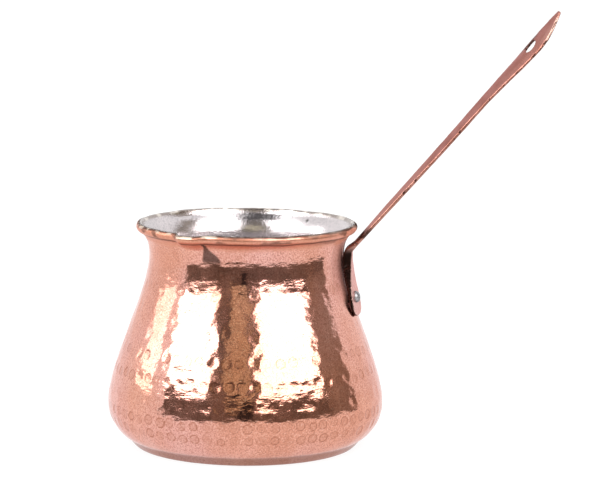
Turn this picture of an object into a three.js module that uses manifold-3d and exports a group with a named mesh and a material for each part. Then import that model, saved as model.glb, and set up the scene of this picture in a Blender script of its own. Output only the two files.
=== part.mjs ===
// Cezve, a hammered copper pot for boiling coffee, with a tin lining and a forged strap handle held by one rivet.
// Millimetres. +Z is up from the underside of the base, +X runs out along the handle, and the pouring lip is toward -Y.
import * as THREE from "three";
import { mergeVertices } from "three/addons/utils/BufferGeometryUtils.js";
import Module from "manifold-3d";

// The pot: outer radius against height. The foot band is a short cone, the belly and neck one smooth curve.
const FOOT_EDGE = [41.2, 0.35];
const FOOT_CREASE = [44.2, 3.4];
const BELLY_AND_NECK = [
  [44.7, 3.7],
  [46.9, 5.7],
  [49.8, 10.5],
  [50.8, 16.2],
  [49.5, 24.3],
  [46.6, 34],
  [42.8, 44.5],
  [39.1, 55],
  [36.3, 64.8],
  [35.8, 71.5],
  [37, 76.8],
  [39, 79.1],
];
const BELLY_STEPS = 17;
const WALL = 1.1;
const BASE_THICKNESS = 1.4;
const TIN = 0.35;

// The rim is a rolled bead over a short band. The tin stops at the top of the bead.
const RIM_HEIGHT = 82.2;
const RIM_BAND = [
  [39.5, 79.2],
  [40.2, 79.8],
  [40.6, 80.5],
  [40.65, 81],
  [40.5, 81.55],
  [40.15, 82],
  [39.7, RIM_HEIGHT],
];
const BEAD_COPPER = [
  [39.25, 82.08],
  [38.95, 81.75],
  [38.7, 81.2],
  [38.35, 80.4],
];
const BEAD_TIN = [
  [39.2, 82.35],
  [38.68, 81.98],
  [38.38, 81.35],
  [38.02, 80.58],
];

// The pouring lip: a short pinch pushed out and down in the rim.
const LIP_AZIMUTH = -108;
const LIP_HALF_ANGLE = 10;
const LIP_REACH = 1.8;
const LIP_DIP = 0.5;
const LIP_ROOT_HEIGHT = 70;
const COARSE_COLUMNS = 56;
const FINE_STEP = 2;
const FINE_HALF_SPAN = 18;

// The strap, station by station from the lower end of its plate to the tip of its leaf:
// distance out from the pot's axis, height, half width, thickness, twist in degrees and crown across the width.
const STRAP = [
  { out: 41.85, up: 49.3, half: 1.2, thick: 0.9, twist: 8, crown: 0 },
  { out: 41.7, up: 49.9, half: 2.8, thick: 1.1, twist: 8, crown: 0 },
  { out: 41.4, up: 51.5, half: 4.3, thick: 1.2, twist: 8, crown: 0 },
  { out: 40.85, up: 54.2, half: 4.7, thick: 1.25, twist: 8, crown: 0 },
  { out: 40.25, up: 57, half: 4.4, thick: 1.35, twist: 8, crown: 0 },
  { out: 39.1, up: 61.5, half: 3.4, thick: 2.3, twist: 6, crown: 0 },
  { out: 38.1, up: 67, half: 2.5, thick: 3.3, twist: 1, crown: 0 },
  { out: 37.9, up: 71.2, half: 2, thick: 3.5, twist: -4, crown: 0 },
  { out: 38.5, up: 73.4, half: 2, thick: 2.8, twist: -7, crown: 0 },
  { out: 40.8, up: 75.8, half: 2.2, thick: 1.3, twist: -12, crown: 0 },
  { out: 53.4, up: 90.4, half: 2.5, thick: 1.2, twist: -20, crown: 0 },
  { out: 71.5, up: 111.2, half: 3.1, thick: 1.1, twist: -22, crown: 0 },
  { out: 87.1, up: 129.6, half: 3.4, thick: 1.05, twist: -23, crown: 0.1 },
  { out: 94.2, up: 137.8, half: 4.1, thick: 0.95, twist: -25, crown: 0.5 },
  { out: 99.6, up: 144, half: 4.8, thick: 0.85, twist: -26, crown: 0.9 },
  { out: 104.6, up: 149.8, half: 5.4, thick: 0.85, twist: -26, crown: 1 },
  { out: 107.6, up: 153.5, half: 5, thick: 0.85, twist: -26, crown: 0.8 },
  { out: 110.3, up: 157.3, half: 3.4, thick: 0.85, twist: -26, crown: 0.4 },
  { out: 113.2, up: 161.7, half: 0.9, thick: 0.8, twist: -26, crown: 0 },
];
const STRAP_RINGS = 60;
const EDGE_CHAMFER = 0.28;
const HANG_HOLE_RADIUS = 2.8;
const HANG_HOLE_OUT = 103.6;
const HANG_HOLE_OFFSET = 0.9;

// The rivet through the plate, the pot's wall and the tin.
const RIVET_HEIGHT = 56;
const PLATE_GAP = 1.1;
const SHANK_RADIUS = 1.5;
const BORE_RADIUS = 1.52;
const HEAD_RADIUS = 2.2;
const HEAD_RISE = 1.6;
const TAIL_RADIUS = 2.1;
const TAIL_RISE = 0.75;
const SEAT_DEPTH = 0.6;
const SHANK_OVERRUN = 0.3;
const RIVET_SIDES = 28;
const HOLE_SIDES = 40;
const SPECK = 0.003;

const wasm = await Module();
wasm.setup();

const degrees = Math.PI / 180;
const mix = THREE.MathUtils.lerp;

function solidOf(geometry) {
  const flat = geometry.index ? geometry.toNonIndexed() : geometry;
  const bare = new THREE.BufferGeometry();
  bare.setAttribute("position", flat.getAttribute("position"));
  const merged = mergeVertices(bare, 1e-4);
  const vertProperties = merged.getAttribute("position").array;
  const triVerts = new Uint32Array(merged.index.array);
  return new wasm.Manifold(new wasm.Mesh({ numProp: 3, vertProperties, triVerts }));
}

function geometryOf(solid) {
  const mesh = solid.getMesh();
  const geometry = new THREE.BufferGeometry();
  geometry.setAttribute("position", new THREE.BufferAttribute(mesh.vertProperties, 3));
  geometry.setIndex(new THREE.BufferAttribute(mesh.triVerts, 1));
  geometry.computeVertexNormals();
  return geometry;
}

// Whether a ring lies below the next one, or inside it at the same height.
function isLower(ring, other) {
  const rise = other[0].z - ring[0].z;
  return Math.abs(rise) > 1e-4 ? rise > 0 : ring[0].length() < other[0].length();
}

// Cutting on a curved face can leave specks of no size beside the one real body.
function mainBody(solid) {
  return solid.decompose().reduce((best, body) => (body.volume() > best.volume() ? body : best));
}

// A closed surface from rings of points, each ring turning the same way. The ends are fans about their middles.
// Each four-sided patch is split from its lower ring, so that two shells that share rings share faces too.
function closedRings(rings) {
  const positions = [];
  const index = [];
  const count = rings[0].length;
  for (const ring of rings) {
    for (const point of ring) positions.push(point.x, point.y, point.z);
  }
  for (let i = 0; i + 1 < rings.length; i += 1) {
    const fromHere = isLower(rings[i], rings[i + 1]);
    for (let j = 0; j < count; j += 1) {
      const a = i * count + j;
      const b = i * count + ((j + 1) % count);
      const c = a + count;
      const d = b + count;
      index.push(...(fromHere ? [a, b, d, a, d, c] : [a, b, c, b, d, c]));
    }
  }
  for (const [ring, start, flip] of [
    [rings[0], 0, true],
    [rings[rings.length - 1], (rings.length - 1) * count, false],
  ]) {
    const middle = new THREE.Vector3();
    for (const point of ring) middle.addScaledVector(point, 1 / count);
    const centre = positions.length / 3;
    positions.push(middle.x, middle.y, middle.z);
    for (let j = 0; j < count; j += 1) {
      const a = start + j;
      const b = start + ((j + 1) % count);
      index.push(...(flip ? [centre, b, a] : [centre, a, b]));
    }
  }
  const geometry = new THREE.BufferGeometry();
  geometry.setAttribute("position", new THREE.Float32BufferAttribute(positions, 3));
  geometry.setIndex(index);
  return geometry;
}

// Angles round the pot, closer together across the pouring lip.
const roundAngles = [];
for (let a = -FINE_HALF_SPAN; a < FINE_HALF_SPAN; a += FINE_STEP) roundAngles.push(LIP_AZIMUTH + a);
for (let i = 0; i < COARSE_COLUMNS; i += 1) {
  roundAngles.push(LIP_AZIMUTH + mix(FINE_HALF_SPAN, 360 - FINE_HALF_SPAN, i / COARSE_COLUMNS));
}

// A point of the wall, moved out and down where it belongs to the pouring lip.
function wallPoint(radius, height, angle) {
  const rise = THREE.MathUtils.smoothstep(height, LIP_ROOT_HEIGHT, RIM_HEIGHT);
  const across = (angle - LIP_AZIMUTH) / LIP_HALF_ANGLE;
  const push = Math.abs(across) < 1 ? Math.cos((across * Math.PI) / 2) ** 1.5 : 0;
  const reach = radius + LIP_REACH * push * rise ** 1.6;
  const z = height - LIP_DIP * push * rise ** 3;
  return new THREE.Vector3(reach * Math.cos(angle * degrees), reach * Math.sin(angle * degrees), z);
}

// A shell turned about Z: rings from the middle of its underside, over its rim, to the middle of its floor.
function turned(profile) {
  const rings = profile.map(([radius, height]) => roundAngles.map((angle) => wallPoint(radius, height, angle)));
  return closedRings(rings);
}

const spline = new THREE.CatmullRomCurve3(
  BELLY_AND_NECK.map(([radius, height]) => new THREE.Vector3(radius, height, 0)),
  false,
  "centripetal",
);
const belly = spline.getPoints(BELLY_STEPS).map((point) => [point.x, point.y]);

// The inside of the wall from its floor up to the bead: the outside moved inward by a depth.
function innerCurve(depth, floor) {
  const footRun = Math.hypot(FOOT_CREASE[0] - FOOT_EDGE[0], FOOT_CREASE[1] - FOOT_EDGE[1]);
  const footOut = (FOOT_CREASE[0] - FOOT_EDGE[0]) / footRun;
  const footUp = (FOOT_CREASE[1] - FOOT_EDGE[1]) / footRun;
  const edge = [FOOT_EDGE[0] - footUp * depth, FOOT_EDGE[1] + footOut * depth];
  const curve = [[edge[0] + ((floor - edge[1]) * footOut) / footUp, floor]];
  for (let i = 0; i < BELLY_STEPS; i += 1) {
    const point = spline.getPoint(i / BELLY_STEPS);
    const along = spline.getTangent(i / BELLY_STEPS);
    curve.push([point.x - along.y * depth, point.y + along.x * depth]);
  }
  return curve;
}

const middle = (height) => [0.01, height];
const outside = [middle(0), [FOOT_EDGE[0] - 0.4, 0], FOOT_EDGE, FOOT_CREASE, ...belly, ...RIM_BAND];
const copperInside = [...innerCurve(WALL, BASE_THICKNESS), ...BEAD_COPPER.toReversed()];
const tinInside = [...innerCurve(WALL + TIN, BASE_THICKNESS + TIN), ...BEAD_TIN.toReversed()];
const shellProfile = [...outside, ...copperInside.toReversed(), middle(BASE_THICKNESS)];
const tinProfile = [
  middle(BASE_THICKNESS),
  ...copperInside,
  RIM_BAND[RIM_BAND.length - 1],
  ...tinInside.toReversed(),
  middle(BASE_THICKNESS + TIN),
];

// The strap's centre line and sections.
const strapLine = new THREE.CatmullRomCurve3(
  STRAP.map((station) => new THREE.Vector3(station.out, 0, station.up)),
  false,
  "centripetal",
);

function strapAt(t) {
  const place = t * (STRAP.length - 1);
  const i = Math.min(Math.floor(place), STRAP.length - 2);
  const share = place - i;
  const value = (key) => mix(STRAP[i][key], STRAP[i + 1][key], share);
  const along = strapLine.getTangent(t);
  const side = new THREE.Vector3(0, -1, 0);
  const under = new THREE.Vector3().crossVectors(along, side).normalize();
  const turn = value("twist") * degrees;
  const face = under.clone().multiplyScalar(Math.cos(turn)).addScaledVector(side, Math.sin(turn));
  const edge = side.clone().multiplyScalar(Math.cos(turn)).addScaledVector(under, -Math.sin(turn));
  return {
    middle: strapLine.getPoint(t),
    along,
    face,
    edge,
    half: value("half"),
    thick: value("thick"),
    crown: value("crown"),
  };
}

function strapRing(t) {
  const { middle, face, edge, half, thick, crown } = strapAt(t);
  const chamfer = Math.min(EDGE_CHAMFER, half / 3);
  const shares = [-1, -0.5, 0, 0.5, 1];
  const section = [];
  for (const share of shares) section.push([share * (half - chamfer), -thick / 2]);
  section.push([half, chamfer - thick / 2], [half, thick / 2 - chamfer]);
  for (const share of shares.toReversed()) section.push([share * (half - chamfer), thick / 2]);
  section.push([-half, thick / 2 - chamfer], [-half, chamfer - thick / 2]);
  return section.map(([across, through]) => {
    const bow = crown * ((across / half) ** 2 - 0.4);
    return middle.clone().addScaledVector(edge, across).addScaledVector(face, through + bow);
  });
}

const strapRings = [];
for (let i = 0; i <= STRAP_RINGS; i += 1) strapRings.push(strapRing(i / STRAP_RINGS));

// The place on the centre line where one of its coordinates reaches a value.
function strapWhere(coordinate, value) {
  let low = 0;
  let high = 1;
  for (let i = 0; i < 40; i += 1) {
    const t = (low + high) / 2;
    if (strapLine.getPoint(t)[coordinate] < value) low = t;
    else high = t;
  }
  return strapAt(low);
}

// A solid turned about its own +Z, laid along a direction at a point.
function turnedAlong(profile, sides, point, direction) {
  const geometry = new THREE.LatheGeometry(
    profile.map(([radius, height]) => new THREE.Vector2(radius, height)),
    sides,
  );
  geometry.rotateX(Math.PI / 2);
  const turn = new THREE.Quaternion().setFromUnitVectors(new THREE.Vector3(0, 0, 1), direction);
  geometry.applyQuaternion(turn);
  geometry.translate(point.x, point.y, point.z);
  return solidOf(geometry);
}

function roundBar(radius, from, to) {
  return [
    [0, from],
    [radius, from],
    [radius, to],
    [0, to],
  ];
}

// A shallow dome from its seat to its crown, with a stub below the seat that sinks into what it rests on.
function dome(radius, rise, seat, way) {
  const profile = [[0, seat - way * SEAT_DEPTH]];
  profile.push([radius * 0.97, seat - way * SEAT_DEPTH]);
  for (let i = 0; i <= 5; i += 1) {
    const turn = (i / 5) * 0.5 * Math.PI;
    profile.push([radius * Math.cos(turn), seat + way * rise * Math.sin(turn)]);
  }
  profile[profile.length - 1][0] = 0;
  return way > 0 ? profile : profile.toReversed();
}

const hang = strapWhere("x", HANG_HOLE_OUT);
const seat = strapWhere("z", RIVET_HEIGHT);
const headSeat = seat.thick / 2;
const tailSeat = -(WALL + TIN + seat.thick / 2 + PLATE_GAP);

const hangPoint = hang.middle.clone().addScaledVector(hang.edge, -HANG_HOLE_OFFSET);
const hangHole = turnedAlong(roundBar(HANG_HOLE_RADIUS, -4, 4), HOLE_SIDES, hangPoint, hang.face);
const shankBar = roundBar(SHANK_RADIUS, tailSeat - SHANK_OVERRUN, headSeat + SHANK_OVERRUN);
const shank = turnedAlong(shankBar, RIVET_SIDES, seat.middle, seat.face);
const bore = turnedAlong(roundBar(BORE_RADIUS, -6, 3), RIVET_SIDES, seat.middle, seat.face);
const head = turnedAlong(dome(HEAD_RADIUS, HEAD_RISE, headSeat, 1), RIVET_SIDES, seat.middle, seat.face);
const tail = turnedAlong(dome(TAIL_RADIUS, TAIL_RISE, tailSeat, -1), RIVET_SIDES, seat.middle, seat.face);

const fullShell = solidOf(turned(shellProfile));
const fullTin = solidOf(turned(tinProfile));
const fullStrap = solidOf(closedRings(strapRings)).subtract(hangHole).subtract(fullShell);
const shell = fullShell.subtract(bore);
const tin = fullTin.subtract(bore);
const strap = fullStrap.subtract(bore);
const linedWall = fullShell.add(fullTin);
const cutHead = mainBody(head.subtract(fullStrap));
const cutTail = mainBody(tail.subtract(linedWall));
const rivet = shank.add(cutHead).add(cutTail).simplify(SPECK);

const copper = new THREE.MeshStandardMaterial({ color: 0xc98a70, metalness: 1, roughness: 0.3 });
const agedCopper = new THREE.MeshStandardMaterial({ color: 0xa86a58, metalness: 1, roughness: 0.45 });
const tinned = new THREE.MeshStandardMaterial({ color: 0xd2d3d6, metalness: 1, roughness: 0.35 });
const aluminium = new THREE.MeshStandardMaterial({ color: 0xb9b9bd, metalness: 1, roughness: 0.4 });

const cezve = new THREE.Group();
for (const [name, solid, material] of [
  ["pot_body", shell, copper],
  ["tin_lining", tin, tinned],
  ["handle_strap", strap, agedCopper],
  ["handle_rivet", rivet, aluminium],
]) {
  const mesh = new THREE.Mesh(geometryOf(solid), material);
  mesh.name = name;
  cezve.add(mesh);
}

export default cezve;
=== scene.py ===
"""A hammered copper cezve: its looks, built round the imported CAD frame.

The shells are turned in millimetres from the CAD wall's own rings, then hammered. The strap and the
rivet are fine remeshes of their CAD solids, then forged. Blender's lengths are metres, so MM scales.
"""

import math

import bmesh
import bpy
import numpy as np
from mathutils import Matrix, Vector, noise


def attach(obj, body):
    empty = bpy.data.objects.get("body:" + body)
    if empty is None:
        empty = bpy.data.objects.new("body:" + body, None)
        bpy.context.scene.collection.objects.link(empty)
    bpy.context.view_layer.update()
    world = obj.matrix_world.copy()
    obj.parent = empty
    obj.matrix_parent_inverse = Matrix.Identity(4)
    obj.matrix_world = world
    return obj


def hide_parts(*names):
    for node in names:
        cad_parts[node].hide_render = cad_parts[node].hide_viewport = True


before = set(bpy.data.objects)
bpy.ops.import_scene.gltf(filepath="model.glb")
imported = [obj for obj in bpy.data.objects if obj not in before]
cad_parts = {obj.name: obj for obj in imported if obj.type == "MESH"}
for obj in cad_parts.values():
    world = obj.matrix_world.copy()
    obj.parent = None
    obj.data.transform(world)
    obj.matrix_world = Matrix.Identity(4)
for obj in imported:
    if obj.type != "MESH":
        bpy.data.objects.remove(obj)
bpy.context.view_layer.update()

MM = 0.001
SEED = 11

# The camera: where it stands round the pot, in degrees and metres, and how far its aim is turned
# right and up from the pot's middle.
VIEW_AZIMUTH = 12.0
VIEW_ELEVATION = 10.23
VIEW_DISTANCE = 0.999
VIEW_HEIGHT = 0.0405
LENS = 162.0
AIM_RIGHT = 0.01985
AIM_UP = 0.03063
ROLL = 0.356

# The pouring lip, as in the CAD: a short pinch pushed out and down in the rim. Degrees and millimetres.
LIP_AZIMUTH = -108.0
LIP_HALF_ANGLE = 10.0
LIP_REACH = 1.8
LIP_DIP = 0.5
LIP_ROOT_HEIGHT = 70.0

# Rows of round hammer marks: the height of each row on the wall and how deep its marks are, in mm.
HAMMER_ROWS = [
    (10.6, 0.16),
    (15.8, 0.13),
    (22.5, 0.07),
    (30.0, 0.16),
    (37.6, 0.1),
    (45.4, 0.04),
    (53.2, 0.03),
    (60.7, 0.08),
]
MARK_SPACING = 4.8
MARK_RADIUS = 2.1
CORNER = 30.0

# How finely the shells are turned: points round the pot, and millimetres between rings.
SHELL_COLUMNS = 600
SHELL_SPACING = 0.52
LINING_COLUMNS = 420
LINING_SPACING = 0.6

# Marks near the lip: how far from its middle the painted dark reflection streak starts and the worn
# tin is centred, in degrees, and the heights of that streak and of the painted shade line under the rim,
# in millimetres.
REFLECTION_STREAK_TURN = 6.5
WORN_TURN = -16.0
REFLECTION_STREAK_TOP = 79.2
CREASE_SHADE_HEIGHT = 79.1

# The middle of the handle's hanging hole, in millimetres.
HOLE_MIDDLE = (103.4, 0.4, 148.7)

# Dark pits in the tin: azimuth in degrees, height and radius in millimetres.
PITS = [(63.0, 79.0, 0.75), (118.0, 74.5, 0.4), (150.0, 71.0, 0.5), (205.0, 66.0, 0.6), (322.0, 58.0, 0.5)]


# ---------------------------------------------------------------- lines and shells


def wall_rings(node, outward):
    """Radius and height in mm of a wall's rings on one face, from the foot up, read opposite the lip."""
    rings = {}
    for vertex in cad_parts[node].data.vertices:
        x, y, z = vertex.co / MM
        turn = math.degrees(math.atan2(y, x)) - LIP_AZIMUTH
        radius = math.hypot(x, y)
        facing = (vertex.normal.x * x + vertex.normal.y * y) / max(radius, 1)
        if abs(turn % 360 - 180) < 0.5 and (facing if outward else -facing) > 0.05:
            rings[round(z, 2)] = radius
    return np.array([(rings[z], z) for z in sorted(rings)])


def curve_through(points, spacing):
    """A smooth line through the points, in steps of about the spacing. Corners over CORNER stay sharp."""
    steps = np.diff(points, axis=0)
    lengths = np.linalg.norm(steps, axis=1)
    ways = steps / lengths[:, None]
    tangents = []
    for i in range(len(points)):
        before, after = ways[max(i - 1, 0)], ways[min(i, len(ways) - 1)]
        if np.dot(before, after) < math.cos(math.radians(CORNER)):
            tangents.append((before, after))
            continue
        share = lengths[max(i - 1, 0)] / (lengths[max(i - 1, 0)] + lengths[min(i, len(ways) - 1)])
        blend = before * (1 - share) + after * share
        tangents.append((blend, blend))
    line = []
    for i, length in enumerate(lengths):
        count = max(1, math.ceil(length / spacing))
        start, end = tangents[i][1] * length, tangents[i + 1][0] * length
        for k in range(count):
            t = k / count
            line.append(
                points[i] * (2 * t**3 - 3 * t**2 + 1)
                + start * (t**3 - 2 * t**2 + t)
                + points[i + 1] * (3 * t**2 - 2 * t**3)
                + end * (t**3 - t**2)
            )
    line.append(points[-1])
    return np.array(line)


def arc_lengths(line):
    """How far along a line each of its points is."""
    return np.concatenate([[0], np.cumsum(np.linalg.norm(np.diff(line, axis=0), axis=1))])


def outward_normals(line):
    """Unit normals of a line of radius and height, to its right-hand side as it climbs."""
    along = np.gradient(line, axis=0)
    normals = np.stack([along[:, 1], -along[:, 0]], axis=1)
    return normals / np.linalg.norm(normals, axis=1)[:, None]


def smoothstep(value, low, high):
    """0 up to low, 1 from high, and a smooth rise between."""
    t = np.clip((value - low) / (high - low), 0, 1)
    return t * t * (3 - 2 * t)


def placed(radius, height, angles):
    """Points in mm of rings round the pot, with the pouring lip and a hand-made wobble of the rim."""
    rise = smoothstep(height, LIP_ROOT_HEIGHT, rim_height)
    across = ((angles - LIP_AZIMUTH + 180) % 360 - 180) / LIP_HALF_ANGLE
    soft_side = np.cos(np.clip(across, 0, 1) * math.pi / 2) ** 1.5
    push = np.where(across > 0, soft_side, smoothstep(across, -1, -0.55))
    turn = np.radians(angles)
    wobble = 0.10 * np.sin(3 * turn + 0.7) + 0.07 * np.sin(8 * turn + 2) + 0.05 * np.sin(17 * turn + 4)
    reach = radius + LIP_REACH * push * rise**1.6 + wobble * rise**2
    z = height - LIP_DIP * push * rise**3 + 0.8 * wobble * rise**3
    return np.stack([reach * np.cos(turn), reach * np.sin(turn), z], axis=-1)


def noise_over(points, scale, seed):
    """Smooth noise from -1 to 1 at points in mm. scale is the size of its lumps along x, y and z."""
    flat = (points / np.array(scale)).reshape(-1, 3) + seed
    return np.array([noise.noise(Vector(p)) for p in flat]).reshape(points.shape[:-1])


def shell_mesh(name, rings, columns, **marks):
    """A closed mesh from rings of points in mm, with a fan at each end, and an attribute for each mark."""
    rows = len(rings)
    points = np.concatenate([rings.reshape(-1, 3), rings[0].mean(0)[None], rings[-1].mean(0)[None]])
    index = np.arange(rows * columns).reshape(rows, columns)
    beside = np.roll(index, -1, axis=1)
    quads = np.stack([index[:-1], beside[:-1], beside[1:], index[1:]], axis=-1).reshape(-1, 4)
    faces = quads.tolist()
    for middle, ring, flip in ((rows * columns, 0, True), (rows * columns + 1, rows - 1, False)):
        for a, b in zip(index[ring].tolist(), beside[ring].tolist()):
            faces.append((middle, b, a) if flip else (middle, a, b))
    mesh = bpy.data.meshes.new(name)
    mesh.from_pydata((points * MM).tolist(), [], faces)
    mesh.polygons.foreach_set("use_smooth", [True] * len(mesh.polygons))
    for mark, values in marks.items():
        attribute = mesh.attributes.new(mark, "FLOAT", "POINT")
        attribute.data.foreach_set("value", np.append(values.ravel(), [0, 0]).astype(np.float32))
    return mesh


# ---------------------------------------------------------------- pieces


def piece(name, mesh, node, material):
    """Shows a mesh in place of a CAD node."""
    mesh.materials.clear()
    mesh.materials.append(material)
    made = bpy.data.objects.new(name, mesh)
    bpy.context.scene.collection.objects.link(made)
    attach(made, "root")
    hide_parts(node)
    return made


def hammer_marks(line, angles):
    """How far the rows of hammer marks press each point of the wall in, in mm, and painted dark rings
    round the marks.
    """
    draw = np.random.default_rng(SEED)
    arc = arc_lengths(line)
    pressed = np.zeros((len(line), len(angles)))
    ring_shades = np.zeros_like(pressed)
    for height, depth in HAMMER_ROWS:
        row = int(np.argmin(np.abs(line[:, 1] - height)))
        radius = line[row, 0]
        count = round(2 * math.pi * radius / MARK_SPACING)
        start = draw.uniform(0, 360 / count)
        for k in range(count):
            middle = start + 360 * (k + draw.normal(0, 0.05)) / count
            level = arc[row] + draw.normal(0, 0.3)
            size = MARK_RADIUS * draw.uniform(0.85, 1.1)
            deep = depth * draw.uniform(0.6, 1.2)
            around = np.radians((angles - middle + 180) % 360 - 180) * radius
            rows = np.flatnonzero(np.abs(arc - level) < size)
            columns = np.flatnonzero(np.abs(around) < size)
            far = ((arc[rows] - level)[:, None] ** 2 + around[columns][None] ** 2) / size**2
            patch = np.ix_(rows, columns)
            pressed[patch] = np.maximum(pressed[patch], deep * np.clip(1 - far, 0, 1))
            ring = np.exp(-(((np.sqrt(far) - 0.78) / 0.12) ** 2)) * deep / depth
            ring_shades[patch] = np.maximum(ring_shades[patch], ring * min(1, depth / 0.1))
    return pressed, ring_shades


def lip_dark_reflection(level, angles, patchy):
    """A painted dark reflection: a dark streak below the lip's corner, wider toward the belly."""
    below = REFLECTION_STREAK_TOP - level
    span = 1.2 + 4.8 * smoothstep(below, 1, 8)
    across = np.abs(angles[None] - (LIP_AZIMUTH + REFLECTION_STREAK_TURN) % 360 - 0.55 * below + 1.5 * patchy)
    strength = 0.82 * (1 - smoothstep(across / span, 0.8, 1.05))
    return strength * smoothstep(level, 71, 73) * (level < REFLECTION_STREAK_TOP + 0.2)


def pot_shell():
    """The copper wall: a finely hammered outside, the bead of the rim and the plain face under the tin."""
    columns = SHELL_COLUMNS
    angles = np.arange(columns) * 360 / columns
    outside = curve_through(wall_rings("pot_body", True), SHELL_SPACING)
    inside = wall_rings("pot_body", False)[::-1][1:]
    bare = placed(outside[:, :1], outside[:, 1:], angles[None])
    pressed, ring_shades = hammer_marks(outside, angles)
    on_wall = smoothstep(outside[:, 1], 3.5, 7) * (1 - smoothstep(outside[:, 1], 74, 78.5))
    lumps = 0.13 * noise_over(bare, (4.6, 4.6, 4.8), 3) + 0.03 * noise_over(bare, (2.3, 2.3, 1.6), 8)
    depth = pressed - lumps * (0.15 + 0.85 * on_wall[:, None])
    normals = outward_normals(outside)
    radius = outside[:, :1] - normals[:, :1] * depth
    height = outside[:, 1:] - normals[:, 1:] * depth
    foot = np.array([[outside[0, 0] - 0.4, 0.0]])
    rings = np.concatenate(
        [
            placed(foot[:, :1], foot[:, 1:], angles[None]),
            placed(radius, height, angles[None]),
            placed(inside[:, :1], inside[:, 1:], angles[None]),
        ]
    )
    from_handle = (angles + 180) % 360 - 180
    level = outside[:, 1:]
    # Painted shade and a painted dark reflection: a near-black band on the neck on one side of the strap,
    # for the dark crevice beside it.
    feathered = from_handle[None] + 4 * noise_over(bare, (2.5, 2.5, 4), 19)
    strap_side_shade = smoothstep(feathered, 1, 5) * (1 - smoothstep(feathered, 11, 16))
    strap_side_shade = strap_side_shade * smoothstep(level, 50, 62)
    dull = (1 - smoothstep(np.abs(from_handle), 14, 24))[None] * smoothstep(level, 50, 60)
    ragged = level + 0.35 * noise_over(bare, (6, 6, 40), 12)
    # Painted shade: a dark line along the fold under the rim.
    crease_shade = np.exp(-(((ragged - CREASE_SHADE_HEIGHT) / 0.35) ** 2)) * 0.75
    stains = smoothstep(noise_over(bare, (5, 5, 3), 31), 0.12, 0.3) * smoothstep(level, 79.3, 80) * 0.6
    seam = smoothstep(ragged, 81.6, 81.9) * 0.85
    patchy = noise_over(bare, (3.5, 3.5, 30), 17)
    from_worn = np.abs((angles - LIP_AZIMUTH - WORN_TURN + 180) % 360 - 180)
    worn_side = 1 - 0.8 * smoothstep(from_worn, 22, 40)[None]
    # Painted shade: the wall darkens toward the foot, where it meets the floor.
    foot_shade = 0.5 * (1 - smoothstep(ragged, 2.8, 4.2))
    # Painted dark reflection: a dark streak under the lip's corner, for the dark room reflected there.
    lip_reflection = lip_dark_reflection(ragged, angles, patchy)
    # A near-black mark: real stains and the dark seam, with painted shade and a painted dark reflection.
    soot = np.maximum.reduce([strap_side_shade, crease_shade, stains, seam, foot_shade, lip_reflection])
    marks = {
        "dent_shade": pressed / max(depth for _, depth in HAMMER_ROWS),
        "ring_shade": ring_shades,
        "soot": soot,
        "rim": smoothstep(ragged, 75.5, 78),
        "tinned": smoothstep(ragged, 81.3, 81.6) * worn_side * smoothstep(patchy, 0.05, 0.3),
        "dull": dull,
    }
    spread = {mark: np.zeros(rings.shape[:2]) for mark in marks}
    for mark, values in marks.items():
        spread[mark][1 : len(outside) + 1] = values
    return shell_mesh("pot_hammered", rings, columns, **spread)


def lining_shell():
    """The tin lining: the wiped inner face and floor, and the face that lies on the copper."""
    columns = LINING_COLUMNS
    angles = np.arange(columns) * 360 / columns
    back = wall_rings("tin_lining", True)
    front = curve_through(wall_rings("tin_lining", False)[::-1], LINING_SPACING)
    rim = np.array([front[0] + (0.5, -0.15)])
    floor_height = front[-1, 1]
    floor = np.array([(r, floor_height) for r in np.arange(front[-1, 0] - 1.2, 1, -1.5)])
    face = np.concatenate([front, floor])
    bare = placed(face[:, :1], face[:, 1:], angles[None])
    lumps = 0.05 * noise_over(bare, (8, 8, 6), 21) + 0.015 * noise_over(bare, (3, 3, 3), 4)
    normals = outward_normals(face)
    lumps *= smoothstep(rim_height - face[:, 1:], 0.3, 2.5)
    radius = face[:, :1] + normals[:, :1] * lumps
    height = face[:, 1:] + normals[:, 1:] * lumps
    rings = np.concatenate(
        [
            placed(back[:, :1], back[:, 1:], angles[None]),
            placed(rim[:, :1], rim[:, 1:], angles[None]),
            placed(radius, height, angles[None]),
        ]
    )
    pits = np.zeros(rings.shape[:2])
    for azimuth, level, size in PITS:
        row = len(back) + 1 + int(np.argmin(np.abs(front[:, 1] - level)))
        far = np.linalg.norm(rings - rings[row, round(azimuth * columns / 360) % columns], axis=-1)
        pits = np.maximum(pits, 1 - smoothstep(far, size * 0.5, size))
    worn = smoothstep(rings[..., 2], rim_height - 1.1, rim_height - 0.7)
    patchy = worn * smoothstep(noise_over(rings, (3, 3, 30), 27), 0.0, 0.45)
    return shell_mesh("tin_wiped", rings, columns, pit=pits, worn=worn, patchy=patchy)


def fine_copy(node, name, voxel, rounds):
    """A close, even mesh of a CAD solid, its edges softened, as an unlinked mesh."""
    work = bmesh.new()
    work.from_mesh(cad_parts[node].data)
    bmesh.ops.remove_doubles(work, verts=work.verts, dist=1e-6)
    source = bpy.data.meshes.new(name)
    work.to_mesh(source)
    work.free()
    holder = bpy.data.objects.new(name + "_work", source)
    bpy.context.scene.collection.objects.link(holder)
    remesh = holder.modifiers.new("close", "REMESH")
    remesh.mode = "VOXEL"
    remesh.voxel_size = voxel * MM
    soften = holder.modifiers.new("soften", "SMOOTH")
    soften.factor = 0.5
    soften.iterations = rounds
    graph = bpy.context.evaluated_depsgraph_get()
    made = bpy.data.meshes.new_from_object(holder.evaluated_get(graph))
    made.name = name
    made.polygons.foreach_set("use_smooth", [True] * len(made.polygons))
    bpy.data.objects.remove(holder)
    return made


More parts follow.
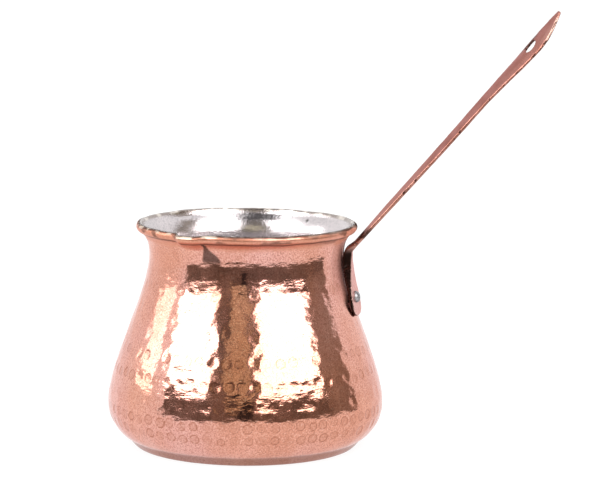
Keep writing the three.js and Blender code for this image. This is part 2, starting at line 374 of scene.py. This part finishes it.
def points_and_normals(mesh):
    """A mesh's points in mm, and its unit normals."""
    count = len(mesh.vertices)
    points, normals = np.empty(count * 3), np.empty(count * 3)
    mesh.vertices.foreach_get("co", points)
    mesh.vertices.foreach_get("normal", normals)
    return points.reshape(-1, 3) / MM, normals.reshape(-1, 3)


def moved(mesh, points, **marks):
    """Puts points in mm back in a mesh, and adds an attribute for each mark."""
    mesh.vertices.foreach_set("co", (points * MM).ravel())
    for name, values in marks.items():
        attribute = mesh.attributes.new(name, "FLOAT", "POINT")
        attribute.data.foreach_set("value", values.astype(np.float32))
    mesh.update()
    return mesh


def strap_forged():
    """The handle: hammered faces, with nicks along its two edges where the bar was drawn out."""
    mesh = fine_copy("handle_strap", "strap_forged", 0.24, 3)
    points, normals = points_and_normals(mesh)
    edge = smoothstep(np.abs(normals[:, 1]), 0.5, 0.95)
    faces = 0.06 * noise_over(points, (5, 5, 5), 2) + 0.02 * noise_over(points, (2, 2, 2), 6)
    nicks = noise_over(points, (2.2, 40, 2.2), 15)
    depth = 0.06 + faces * (1 - edge) - edge * 0.25 * smoothstep(nicks, 0.2, 0.5)
    # The riveted end of the strap, where both a painted highlight and painted shade are laid.
    plate = 1 - smoothstep(points[:, 2], 72, 76)
    # Painted shade: on the riveted end, the faces not turned outward are near black, for the shade between
    # strap and neck.
    soot = plate * (1 - smoothstep(normals[:, 0], 0.35, 0.8))
    soot = np.maximum(soot, edge * smoothstep(nicks, 0.25, 0.5) * 0.6)
    # Painted dark reflection: above the bend, the faces turned toward the front are darkened.
    above_bend = smoothstep(points[:, 2], 77.5, 78.5) * (1 - smoothstep(points[:, 2], 80.5, 83))
    soot = np.maximum(soot, 0.85 * above_bend * smoothstep(-normals[:, 1], -0.1, 0.4))
    # Painted shade: the far side of the hanging hole is near black.
    from_hole = points - np.array(HOLE_MIDDLE)
    beside_hole = 1 - smoothstep(np.linalg.norm(from_hole, axis=1), 4.5, 6.5)
    soot = np.maximum(soot, 0.85 * beside_hole * smoothstep(from_hole[:, 1] + 0.6 * nicks, 1.4, 2.2))
    # Painted highlight: a pale band along the edges near the end of the leaf.
    tip = 0.6 * edge * smoothstep(points[:, 2], 150, 154) * (1 - smoothstep(points[:, 2], 159, 160.5))
    return moved(mesh, points + normals * depth[:, None], edge=edge, soot=soot, plate=plate, tip=tip)


def rivet_set():
    """The rivet, its head a little lopsided from the hammer."""
    mesh = fine_copy("handle_rivet", "rivet_set", 0.11, 2)
    points, normals = points_and_normals(mesh)
    depth = 0.07 * noise_over(points, (1.6, 1.6, 1.6), 5) + 0.02 * noise_over(points, (0.5, 0.5, 0.5), 9)
    return moved(mesh, points + normals * depth[:, None])


# ---------------------------------------------------------------- materials


class Nodes:
    """A material's node tree, with one call to add a node, set it and link it."""

    def __init__(self, name):
        self.material = bpy.data.materials.new(name)
        self.material.use_nodes = True
        self.tree = self.material.node_tree
        self.shader = self.tree.nodes["Principled BSDF"]
        self.place = self.add("ShaderNodeTexCoord").outputs["Object"]

    def add(self, kind, inputs=(), **settings):
        """A new node. A socket as an input is linked, and any other value is set."""
        made = self.tree.nodes.new(kind)
        for key, value in settings.items():
            setattr(made, key, value)
        for key, value in dict(inputs).items():
            self.put(made.inputs[key], value)
        return made

    def put(self, socket, value):
        if isinstance(value, bpy.types.NodeSocket):
            self.tree.links.new(value, socket)
        else:
            socket.default_value = value

    def noise(self, scale, stretch=(1, 1, 1), detail=2.0):
        """Noise from 0 to 1. scale is in lumps per metre, and stretch squeezes it along an axis."""
        spread = self.add("ShaderNodeMapping", {"Vector": self.place, "Scale": stretch})
        inputs = {"Vector": spread.outputs["Vector"], "Scale": scale, "Detail": detail}
        return self.add("ShaderNodeTexNoise", inputs).outputs["Fac"]

    def ramp(self, value, low, high, start=0.0, end=1.0):
        """A value eased from the range low to high into the range start to end."""
        inputs = {"Value": value, "From Min": low, "From Max": high, "To Min": start, "To Max": end}
        return self.add("ShaderNodeMapRange", inputs, interpolation_type="SMOOTHSTEP").outputs["Result"]

    def math(self, operation, a, b):
        return self.add("ShaderNodeMath", {0: a, 1: b}, operation=operation).outputs[0]

    def mix(self, share, a, b):
        """Colour a, with a share of colour b."""
        made = self.tree.nodes.new("ShaderNodeMix")
        made.data_type = "RGBA"
        self.put(made.inputs[0], share)
        self.put(made.inputs[6], a)
        self.put(made.inputs[7], b)
        return made.outputs[2]

    def attribute(self, name):
        return self.add("ShaderNodeAttribute", attribute_name=name).outputs["Fac"]

    def bump(self, height, distance, normal=None):
        inputs = {"Height": height, "Distance": distance}
        made = self.add("ShaderNodeBump", inputs)
        if normal is not None:
            self.put(made.inputs["Normal"], normal)
        return made.outputs["Normal"]

    def finish(self, **sockets):
        """Sets or links the shader's sockets, and gives the material."""
        for key, value in sockets.items():
            self.put(self.shader.inputs[key.replace("_", " ")], value)
        return self.material


def polished_copper():
    """The shell's hammered copper, wiped bright, with stains, painted shade and a painted dark reflection
    where the shell's marks say.
    """
    n = Nodes("polished_copper")
    dent_shade, ring_shade = n.attribute("dent_shade"), n.attribute("ring_shade")
    soot, rim, dull = n.attribute("soot"), n.attribute("rim"), n.attribute("dull")
    tinned = n.attribute("tinned")
    blotch = n.noise(70, detail=3)
    cloud = n.noise(25)
    streak = n.noise(60, (1, 1, 0.3))
    grain = n.noise(1800, detail=3)
    lines = n.noise(380, (1, 1, 2.2), detail=2)
    base = n.mix(n.ramp(cloud, 0.35, 0.65), (0.72, 0.37, 0.315, 1), (0.73, 0.35, 0.25, 1))
    base = n.mix(n.ramp(blotch, 0.5, 0.8, 0, 0.4), base, (0.6, 0.26, 0.18, 1))
    base = n.mix(n.ramp(streak, 0.48, 0.66, 0, 0.55), base, (0.62, 0.27, 0.18, 1))
    base = n.mix(n.ramp(streak, 0.46, 0.32, 0, 0.4), base, (0.8, 0.48, 0.42, 1))
    base = n.mix(n.ramp(grain, 0.48, 0.66, 0, 0.62), base, (0.42, 0.17, 0.12, 1))
    base = n.mix(n.ramp(grain, 0.46, 0.32, 0, 0.35), base, (0.88, 0.6, 0.52, 1))
    # Painted shade: the hammer marks are darkened, and a dark ring is painted round each.
    base = n.mix(n.ramp(dent_shade, 0.05, 0.6, 0, 0.25), base, (0.46, 0.19, 0.12, 1))
    base = n.mix(n.ramp(ring_shade, 0.25, 0.9, 0, 0.9), base, (0.4, 0.155, 0.1, 1))
    base = n.mix(n.ramp(rim, 0, 1, 0, 0.5), base, (0.66, 0.28, 0.17, 1))
    # Near black where the mark says: stains and the seam, and painted shade and a painted dark reflection.
    base = n.mix(soot, base, (0.05, 0.03, 0.025, 1))
    base = n.mix(tinned, base, (0.66, 0.56, 0.46, 1))
    rough = n.math("ADD", n.ramp(grain, 0.3, 0.7, 0.08, 0.14), n.ramp(blotch, 0.4, 0.75, 0, 0.05))
    rough = n.math("ADD", rough, n.ramp(rim, 0, 1, 0, 0.26))
    rough = n.math("ADD", rough, n.ramp(soot, 0, 1, 0, 0.25))
    rough = n.math("ADD", rough, n.ramp(dull, 0, 1, 0, 0.4))
    normal = n.bump(lines, 0.00008)
    normal = n.bump(grain, 0.000006, normal)
    tint = (1.0, 0.9, 0.9, 1)
    return n.finish(Base_Color=base, Metallic=1.0, Roughness=rough, Specular_Tint=tint, Normal=normal)


def wiped_tin():
    """The lining's grey tin, wiped round by hand, with specks and pits."""
    n = Nodes("wiped_tin")
    cloud = n.noise(45, detail=4)
    wipe = n.noise(80, (1, 1, 7), detail=4)
    grain = n.noise(1400, detail=2)
    cells = {"Vector": n.place, "Scale": 95.0, "Randomness": 1.0}
    spots = n.add("ShaderNodeTexVoronoi", cells).outputs["Distance"]
    base = n.mix(n.ramp(cloud, 0.35, 0.7), (0.68, 0.62, 0.63, 1), (0.54, 0.5, 0.51, 1))
    base = n.mix(n.ramp(grain, 0.4, 0.7, 0, 0.4), base, (0.36, 0.35, 0.36, 1))
    speck = n.math("MULTIPLY", n.ramp(spots, 0.09, 0.04), n.ramp(cloud, 0.52, 0.56))
    base = n.mix(speck, base, (0.1, 0.09, 0.08, 1))
    base = n.mix(n.attribute("worn"), base, (0.36, 0.31, 0.29, 1))
    base = n.mix(n.attribute("patchy"), base, (0.75, 0.69, 0.63, 1))
    base = n.mix(n.attribute("pit"), base, (0.05, 0.045, 0.04, 1))
    rough = n.math("ADD", n.ramp(wipe, 0.3, 0.7, 0.13, 0.2), n.ramp(grain, 0.4, 0.7, 0, 0.08))
    normal = n.bump(wipe, 0.00008)
    normal = n.bump(grain, 0.00006, normal)
    return n.finish(Base_Color=base, Metallic=1.0, Roughness=rough, Normal=normal)


def aged_copper():
    """The handle's copper, darker than the pot's as painted shade, with painted highlights and dark nicks.
    """
    n = Nodes("aged_copper")
    edge, soot, plate = n.attribute("edge"), n.attribute("soot"), n.attribute("plate")
    up = n.add("ShaderNodeSeparateXYZ", {"Vector": n.place}).outputs["Z"]
    low = n.ramp(up, 0.085, 0.118)
    cloud = n.noise(120, detail=4)
    grain = n.noise(1300, detail=3)
    # Painted shade: the base is darker than the pot's copper, for the dark room the handle reflects.
    base = n.mix(n.ramp(cloud, 0.35, 0.7), (0.42, 0.205, 0.18, 1), (0.31, 0.135, 0.11, 1))
    base = n.mix(n.ramp(low, 1, 0, 0, 0.5), base, (0.5, 0.27, 0.22, 1))
    # Painted highlight: the riveted end of the strap is made paler, for the bright light it reflects.
    base = n.mix(plate, base, (0.8, 0.52, 0.48, 1))
    base = n.mix(n.ramp(edge, 0.2, 0.9, 0, 0.45), base, (0.42, 0.18, 0.12, 1))
    base = n.mix(n.ramp(grain, 0.4, 0.7, 0, 0.3), base, (0.3, 0.12, 0.09, 1))
    # Near black where the mark says: painted shade, and dark nicks.
    base = n.mix(soot, base, (0.035, 0.02, 0.017, 1))
    # Painted highlight along the leaf's edges near its end.
    base = n.mix(n.attribute("tip"), base, (0.66, 0.48, 0.4, 1))
    rough = n.math("ADD", n.ramp(cloud, 0.35, 0.7, 0.24, 0.36), n.ramp(grain, 0.4, 0.7, 0, 0.1))
    normal = n.bump(n.noise(420, detail=3), 0.00006)
    normal = n.bump(grain, 0.00001, normal)
    tint = (0.8, 0.6, 0.6, 1)
    return n.finish(Base_Color=base, Metallic=1.0, Roughness=rough, Specular_Tint=tint, Normal=normal)


def dull_aluminium():
    """The rivet's mottled grey."""
    n = Nodes("dull_aluminium")
    cloud = n.noise(600, detail=4)
    grain = n.noise(3000, detail=2)
    base = n.mix(n.ramp(cloud, 0.35, 0.65), (0.46, 0.45, 0.46, 1), (0.14, 0.13, 0.14, 1))
    rough = n.ramp(cloud, 0.3, 0.7, 0.36, 0.55)
    normal = n.bump(cloud, 0.00015)
    normal = n.bump(grain, 0.00002, normal)
    return n.finish(Base_Color=base, Metallic=1.0, Roughness=rough, Normal=normal)


# ---------------------------------------------------------------- studio


# The softboxes: the turns of their two sides, their low and high elevation, and their radiance.
SOFTBOXES = {
    "softbox_left": (-78, -32, 15, 70, 4.6),
    "softbox_right": (11, 71, 15, 70, 4.6),
    "softbox_side": (-110, -88, 8, 32, 2.0),
}
SOFTBOX_DISTANCE = 0.95
SOFTBOX_LIFT = 0.05

# The dark room's walls, in metres: how far its cards stand from the pot, and their heights.
ROOM_DISTANCE = 1.4
NEAR_CARD_DISTANCE = 1.3
WARM_CARD_DISTANCE = 1.35
ROOM_MIDDLE = 0.75
ROOM_TOP = 2.0
CEILING_HEIGHT = 1.3
POST_TOP = 0.4
WARM_CARD_TOP = 1.05
SIDE_CARD_TOP = 1.5


def studio_point(turn, distance, height):
    """A place round the pot by its turn from the camera's side, positive toward the handle."""
    a = math.radians(VIEW_AZIMUTH + turn)
    return Vector((math.sin(a) * distance, -math.cos(a) * distance, height))


def glow_material(name, colour, other=None, scale=1.0, squash=1.0):
    """A plain glow, or one that wanders between two colours in patches, scale patches to the metre."""
    made = bpy.data.materials.new(name)
    made.use_nodes = True
    tree = made.node_tree
    tree.nodes.clear()
    glow = tree.nodes.new("ShaderNodeEmission")
    glow.inputs["Color"].default_value = (*colour, 1)
    if other is not None:
        patches = tree.nodes.new("ShaderNodeTexNoise")
        patches.inputs["Scale"].default_value = scale
        place = tree.nodes.new("ShaderNodeTexCoord")
        squashed = tree.nodes.new("ShaderNodeMapping")
        squashed.inputs["Scale"].default_value = (1, 1, squash)
        tree.links.new(place.outputs["Object"], squashed.inputs["Vector"])
        tree.links.new(squashed.outputs["Vector"], patches.inputs["Vector"])
        shades = tree.nodes.new("ShaderNodeValToRGB")
        shades.color_ramp.elements[0].position = 0.4
        shades.color_ramp.elements[0].color = (*colour, 1)
        shades.color_ramp.elements[1].position = 0.62
        shades.color_ramp.elements[1].color = (*other, 1)
        tree.links.new(patches.outputs["Fac"], shades.inputs["Fac"])
        tree.links.new(shades.outputs["Color"], glow.inputs["Color"])
    out = tree.nodes.new("ShaderNodeOutputMaterial")
    tree.links.new(glow.outputs["Emission"], out.inputs["Surface"])
    return made


def stage_sheet(name, corners, material, seen=False):
    """A card of the studio from rows of points. A card that isn't seen shows only in reflections."""
    rows, columns = len(corners), len(corners[0])
    faces = []
    for i in range(rows - 1):
        for j in range(columns - 1):
            a = i * columns + j
            faces.append((a, a + 1, a + columns + 1, a + columns))
    mesh = bpy.data.meshes.new(name)
    mesh.from_pydata([p for row in corners for p in row], [], faces)
    mesh.materials.append(material)
    sheet = bpy.data.objects.new(name, mesh)
    bpy.context.scene.collection.objects.link(sheet)
    sheet.visible_camera = seen
    sheet.visible_shadow = seen
    return sheet


def dark_room():
    """The unlit room beyond the front edge of the table, with a warm wall between the two softboxes."""
    room = glow_material("room_dark", (0.14, 0.12, 0.1), (0.26, 0.22, 0.19), 3.0)
    pale = glow_material("room_pale", (0.3, 0.26, 0.22), (0.42, 0.36, 0.3), 3.0)
    warm = glow_material("room_warm", (0.05, 0.04, 0.03), (1.5, 1.38, 0.98), 16.0, 4.0)
    black = glow_material("room_black", (0.03, 0.025, 0.025))
    turns = np.linspace(-72, 102, 37)
    wall = [[studio_point(t, ROOM_DISTANCE, z) for t in turns] for z in (0.0, ROOM_MIDDLE)]
    stage_sheet("stage_room", wall, room)
    front = [t for t in turns if t < 84]
    high = [[studio_point(t, ROOM_DISTANCE, z) for t in front] for z in (ROOM_MIDDLE, ROOM_TOP)]
    stage_sheet("stage_room_high", high, room)
    side = np.linspace(72, 102, 7)
    beside = [[studio_point(t, NEAR_CARD_DISTANCE, z) for t in side] for z in (0.0, SIDE_CARD_TOP)]
    stage_sheet("stage_room_beside", beside, pale)
    over = np.linspace(-70, 22, 12)
    ceiling = [[studio_point(t, r, CEILING_HEIGHT) for t in over] for r in (0.9, 0.02)]
    stage_sheet("stage_ceiling", ceiling, black)
    floor = [[studio_point(t, r, 0.001) for t in turns] for r in (0.3, ROOM_DISTANCE)]
    stage_sheet("stage_room_floor", floor, room)
    heights = (POST_TOP, WARM_CARD_TOP)
    strip = [[studio_point(t, WARM_CARD_DISTANCE, z) for t in (-18.5, -8, 3)] for z in heights]
    stage_sheet("stage_room_warm", strip, warm)
    post = [[studio_point(t, NEAR_CARD_DISTANCE, z) for t in (-8, 4)] for z in (0.0, POST_TOP)]
    stage_sheet("stage_room_post", post, black)


def softbox(name, turn_from, turn_to, low, high, radiance):
    """An upright softbox, placed by the turns of its sides and its low and high elevation, in degrees."""
    turn = (turn_from + turn_to) / 2
    width = 2 * SOFTBOX_DISTANCE * math.tan(math.radians(turn_to - turn_from) / 2)
    bottom = SOFTBOX_DISTANCE * math.tan(math.radians(low))
    top = SOFTBOX_DISTANCE * math.tan(math.radians(high))
    lamp = bpy.data.lights.new(name, "AREA")
    lamp.shape = "RECTANGLE"
    lamp.size = width
    lamp.size_y = top - bottom
    lamp.energy = radiance * math.pi * lamp.size * lamp.size_y
    made = bpy.data.objects.new(name, lamp)
    made.location = studio_point(turn, SOFTBOX_DISTANCE, (top + bottom) / 2 + SOFTBOX_LIFT)
    toward = studio_point(turn, 1, 0)
    made.rotation_euler = toward.to_track_quat("Z", "Y").to_euler()
    bpy.context.scene.collection.objects.link(made)
    made.visible_camera = False
    return made


def floor_and_world():
    """A pale floor a hair below the foot, and an even white light all round."""
    pale = bpy.data.materials.new("stage_pale")
    pale.use_nodes = True
    shader = pale.node_tree.nodes["Principled BSDF"]
    shader.inputs["Base Color"].default_value = (0.14, 0.14, 0.14, 1)
    shader.inputs["Roughness"].default_value = 0.9
    shader.inputs["Specular IOR Level"].default_value = 0.0
    shader.inputs["Emission Color"].default_value = (1, 1, 1, 1)
    shader.inputs["Emission Strength"].default_value = 0.9
    reach = 6.0
    corners = [[Vector((x, y, -0.0002)) for x in (-reach, reach)] for y in (-reach, reach)]
    stage_sheet("stage_floor", corners, pale, seen=True)
    world = bpy.data.worlds.new("white_studio")
    world.use_nodes = True
    background = world.node_tree.nodes["Background"]
    background.inputs["Color"].default_value = (1, 1, 1, 1)
    background.inputs["Strength"].default_value = 1.12
    bpy.context.scene.world = world


def camera():
    """The camera, aimed a little off the pot's middle and slightly rolled."""
    a, e = math.radians(VIEW_AZIMUTH), math.radians(VIEW_ELEVATION)
    back = Vector((math.sin(a) * math.cos(e), -math.cos(a) * math.cos(e), math.sin(e)))
    right = Vector((math.cos(a), math.sin(a), 0))
    up = back.cross(right)
    ahead = (-back + right * AIM_RIGHT + up * AIM_UP).normalized()
    right = ahead.cross(up).normalized()
    up = right.cross(ahead)
    roll = math.radians(ROLL)
    tilted_right = right * math.cos(roll) + up * math.sin(roll)
    tilted_up = up * math.cos(roll) - right * math.sin(roll)
    data = bpy.data.cameras.new("camera")
    data.lens = LENS
    data.sensor_width = 36.0
    made = bpy.data.objects.new("camera", data)
    turn = Matrix((tilted_right, tilted_up, -ahead)).transposed().to_4x4()
    made.matrix_world = Matrix.Translation(Vector((0, 0, VIEW_HEIGHT)) + back * VIEW_DISTANCE) @ turn
    bpy.context.scene.collection.objects.link(made)
    bpy.context.scene.camera = made


rim_height = wall_rings("pot_body", True)[-1, 1]

camera()
floor_and_world()
dark_room()
for name, settings in SOFTBOXES.items():
    softbox(name, *settings)
bpy.context.scene.view_settings.view_transform = "Standard"

piece("pot_copper", pot_shell(), "pot_body", polished_copper())
piece("pot_lining", lining_shell(), "tin_lining", wiped_tin())
piece("handle", strap_forged(), "handle_strap", aged_copper())
piece("rivet", rivet_set(), "handle_rivet", dull_aluminium())
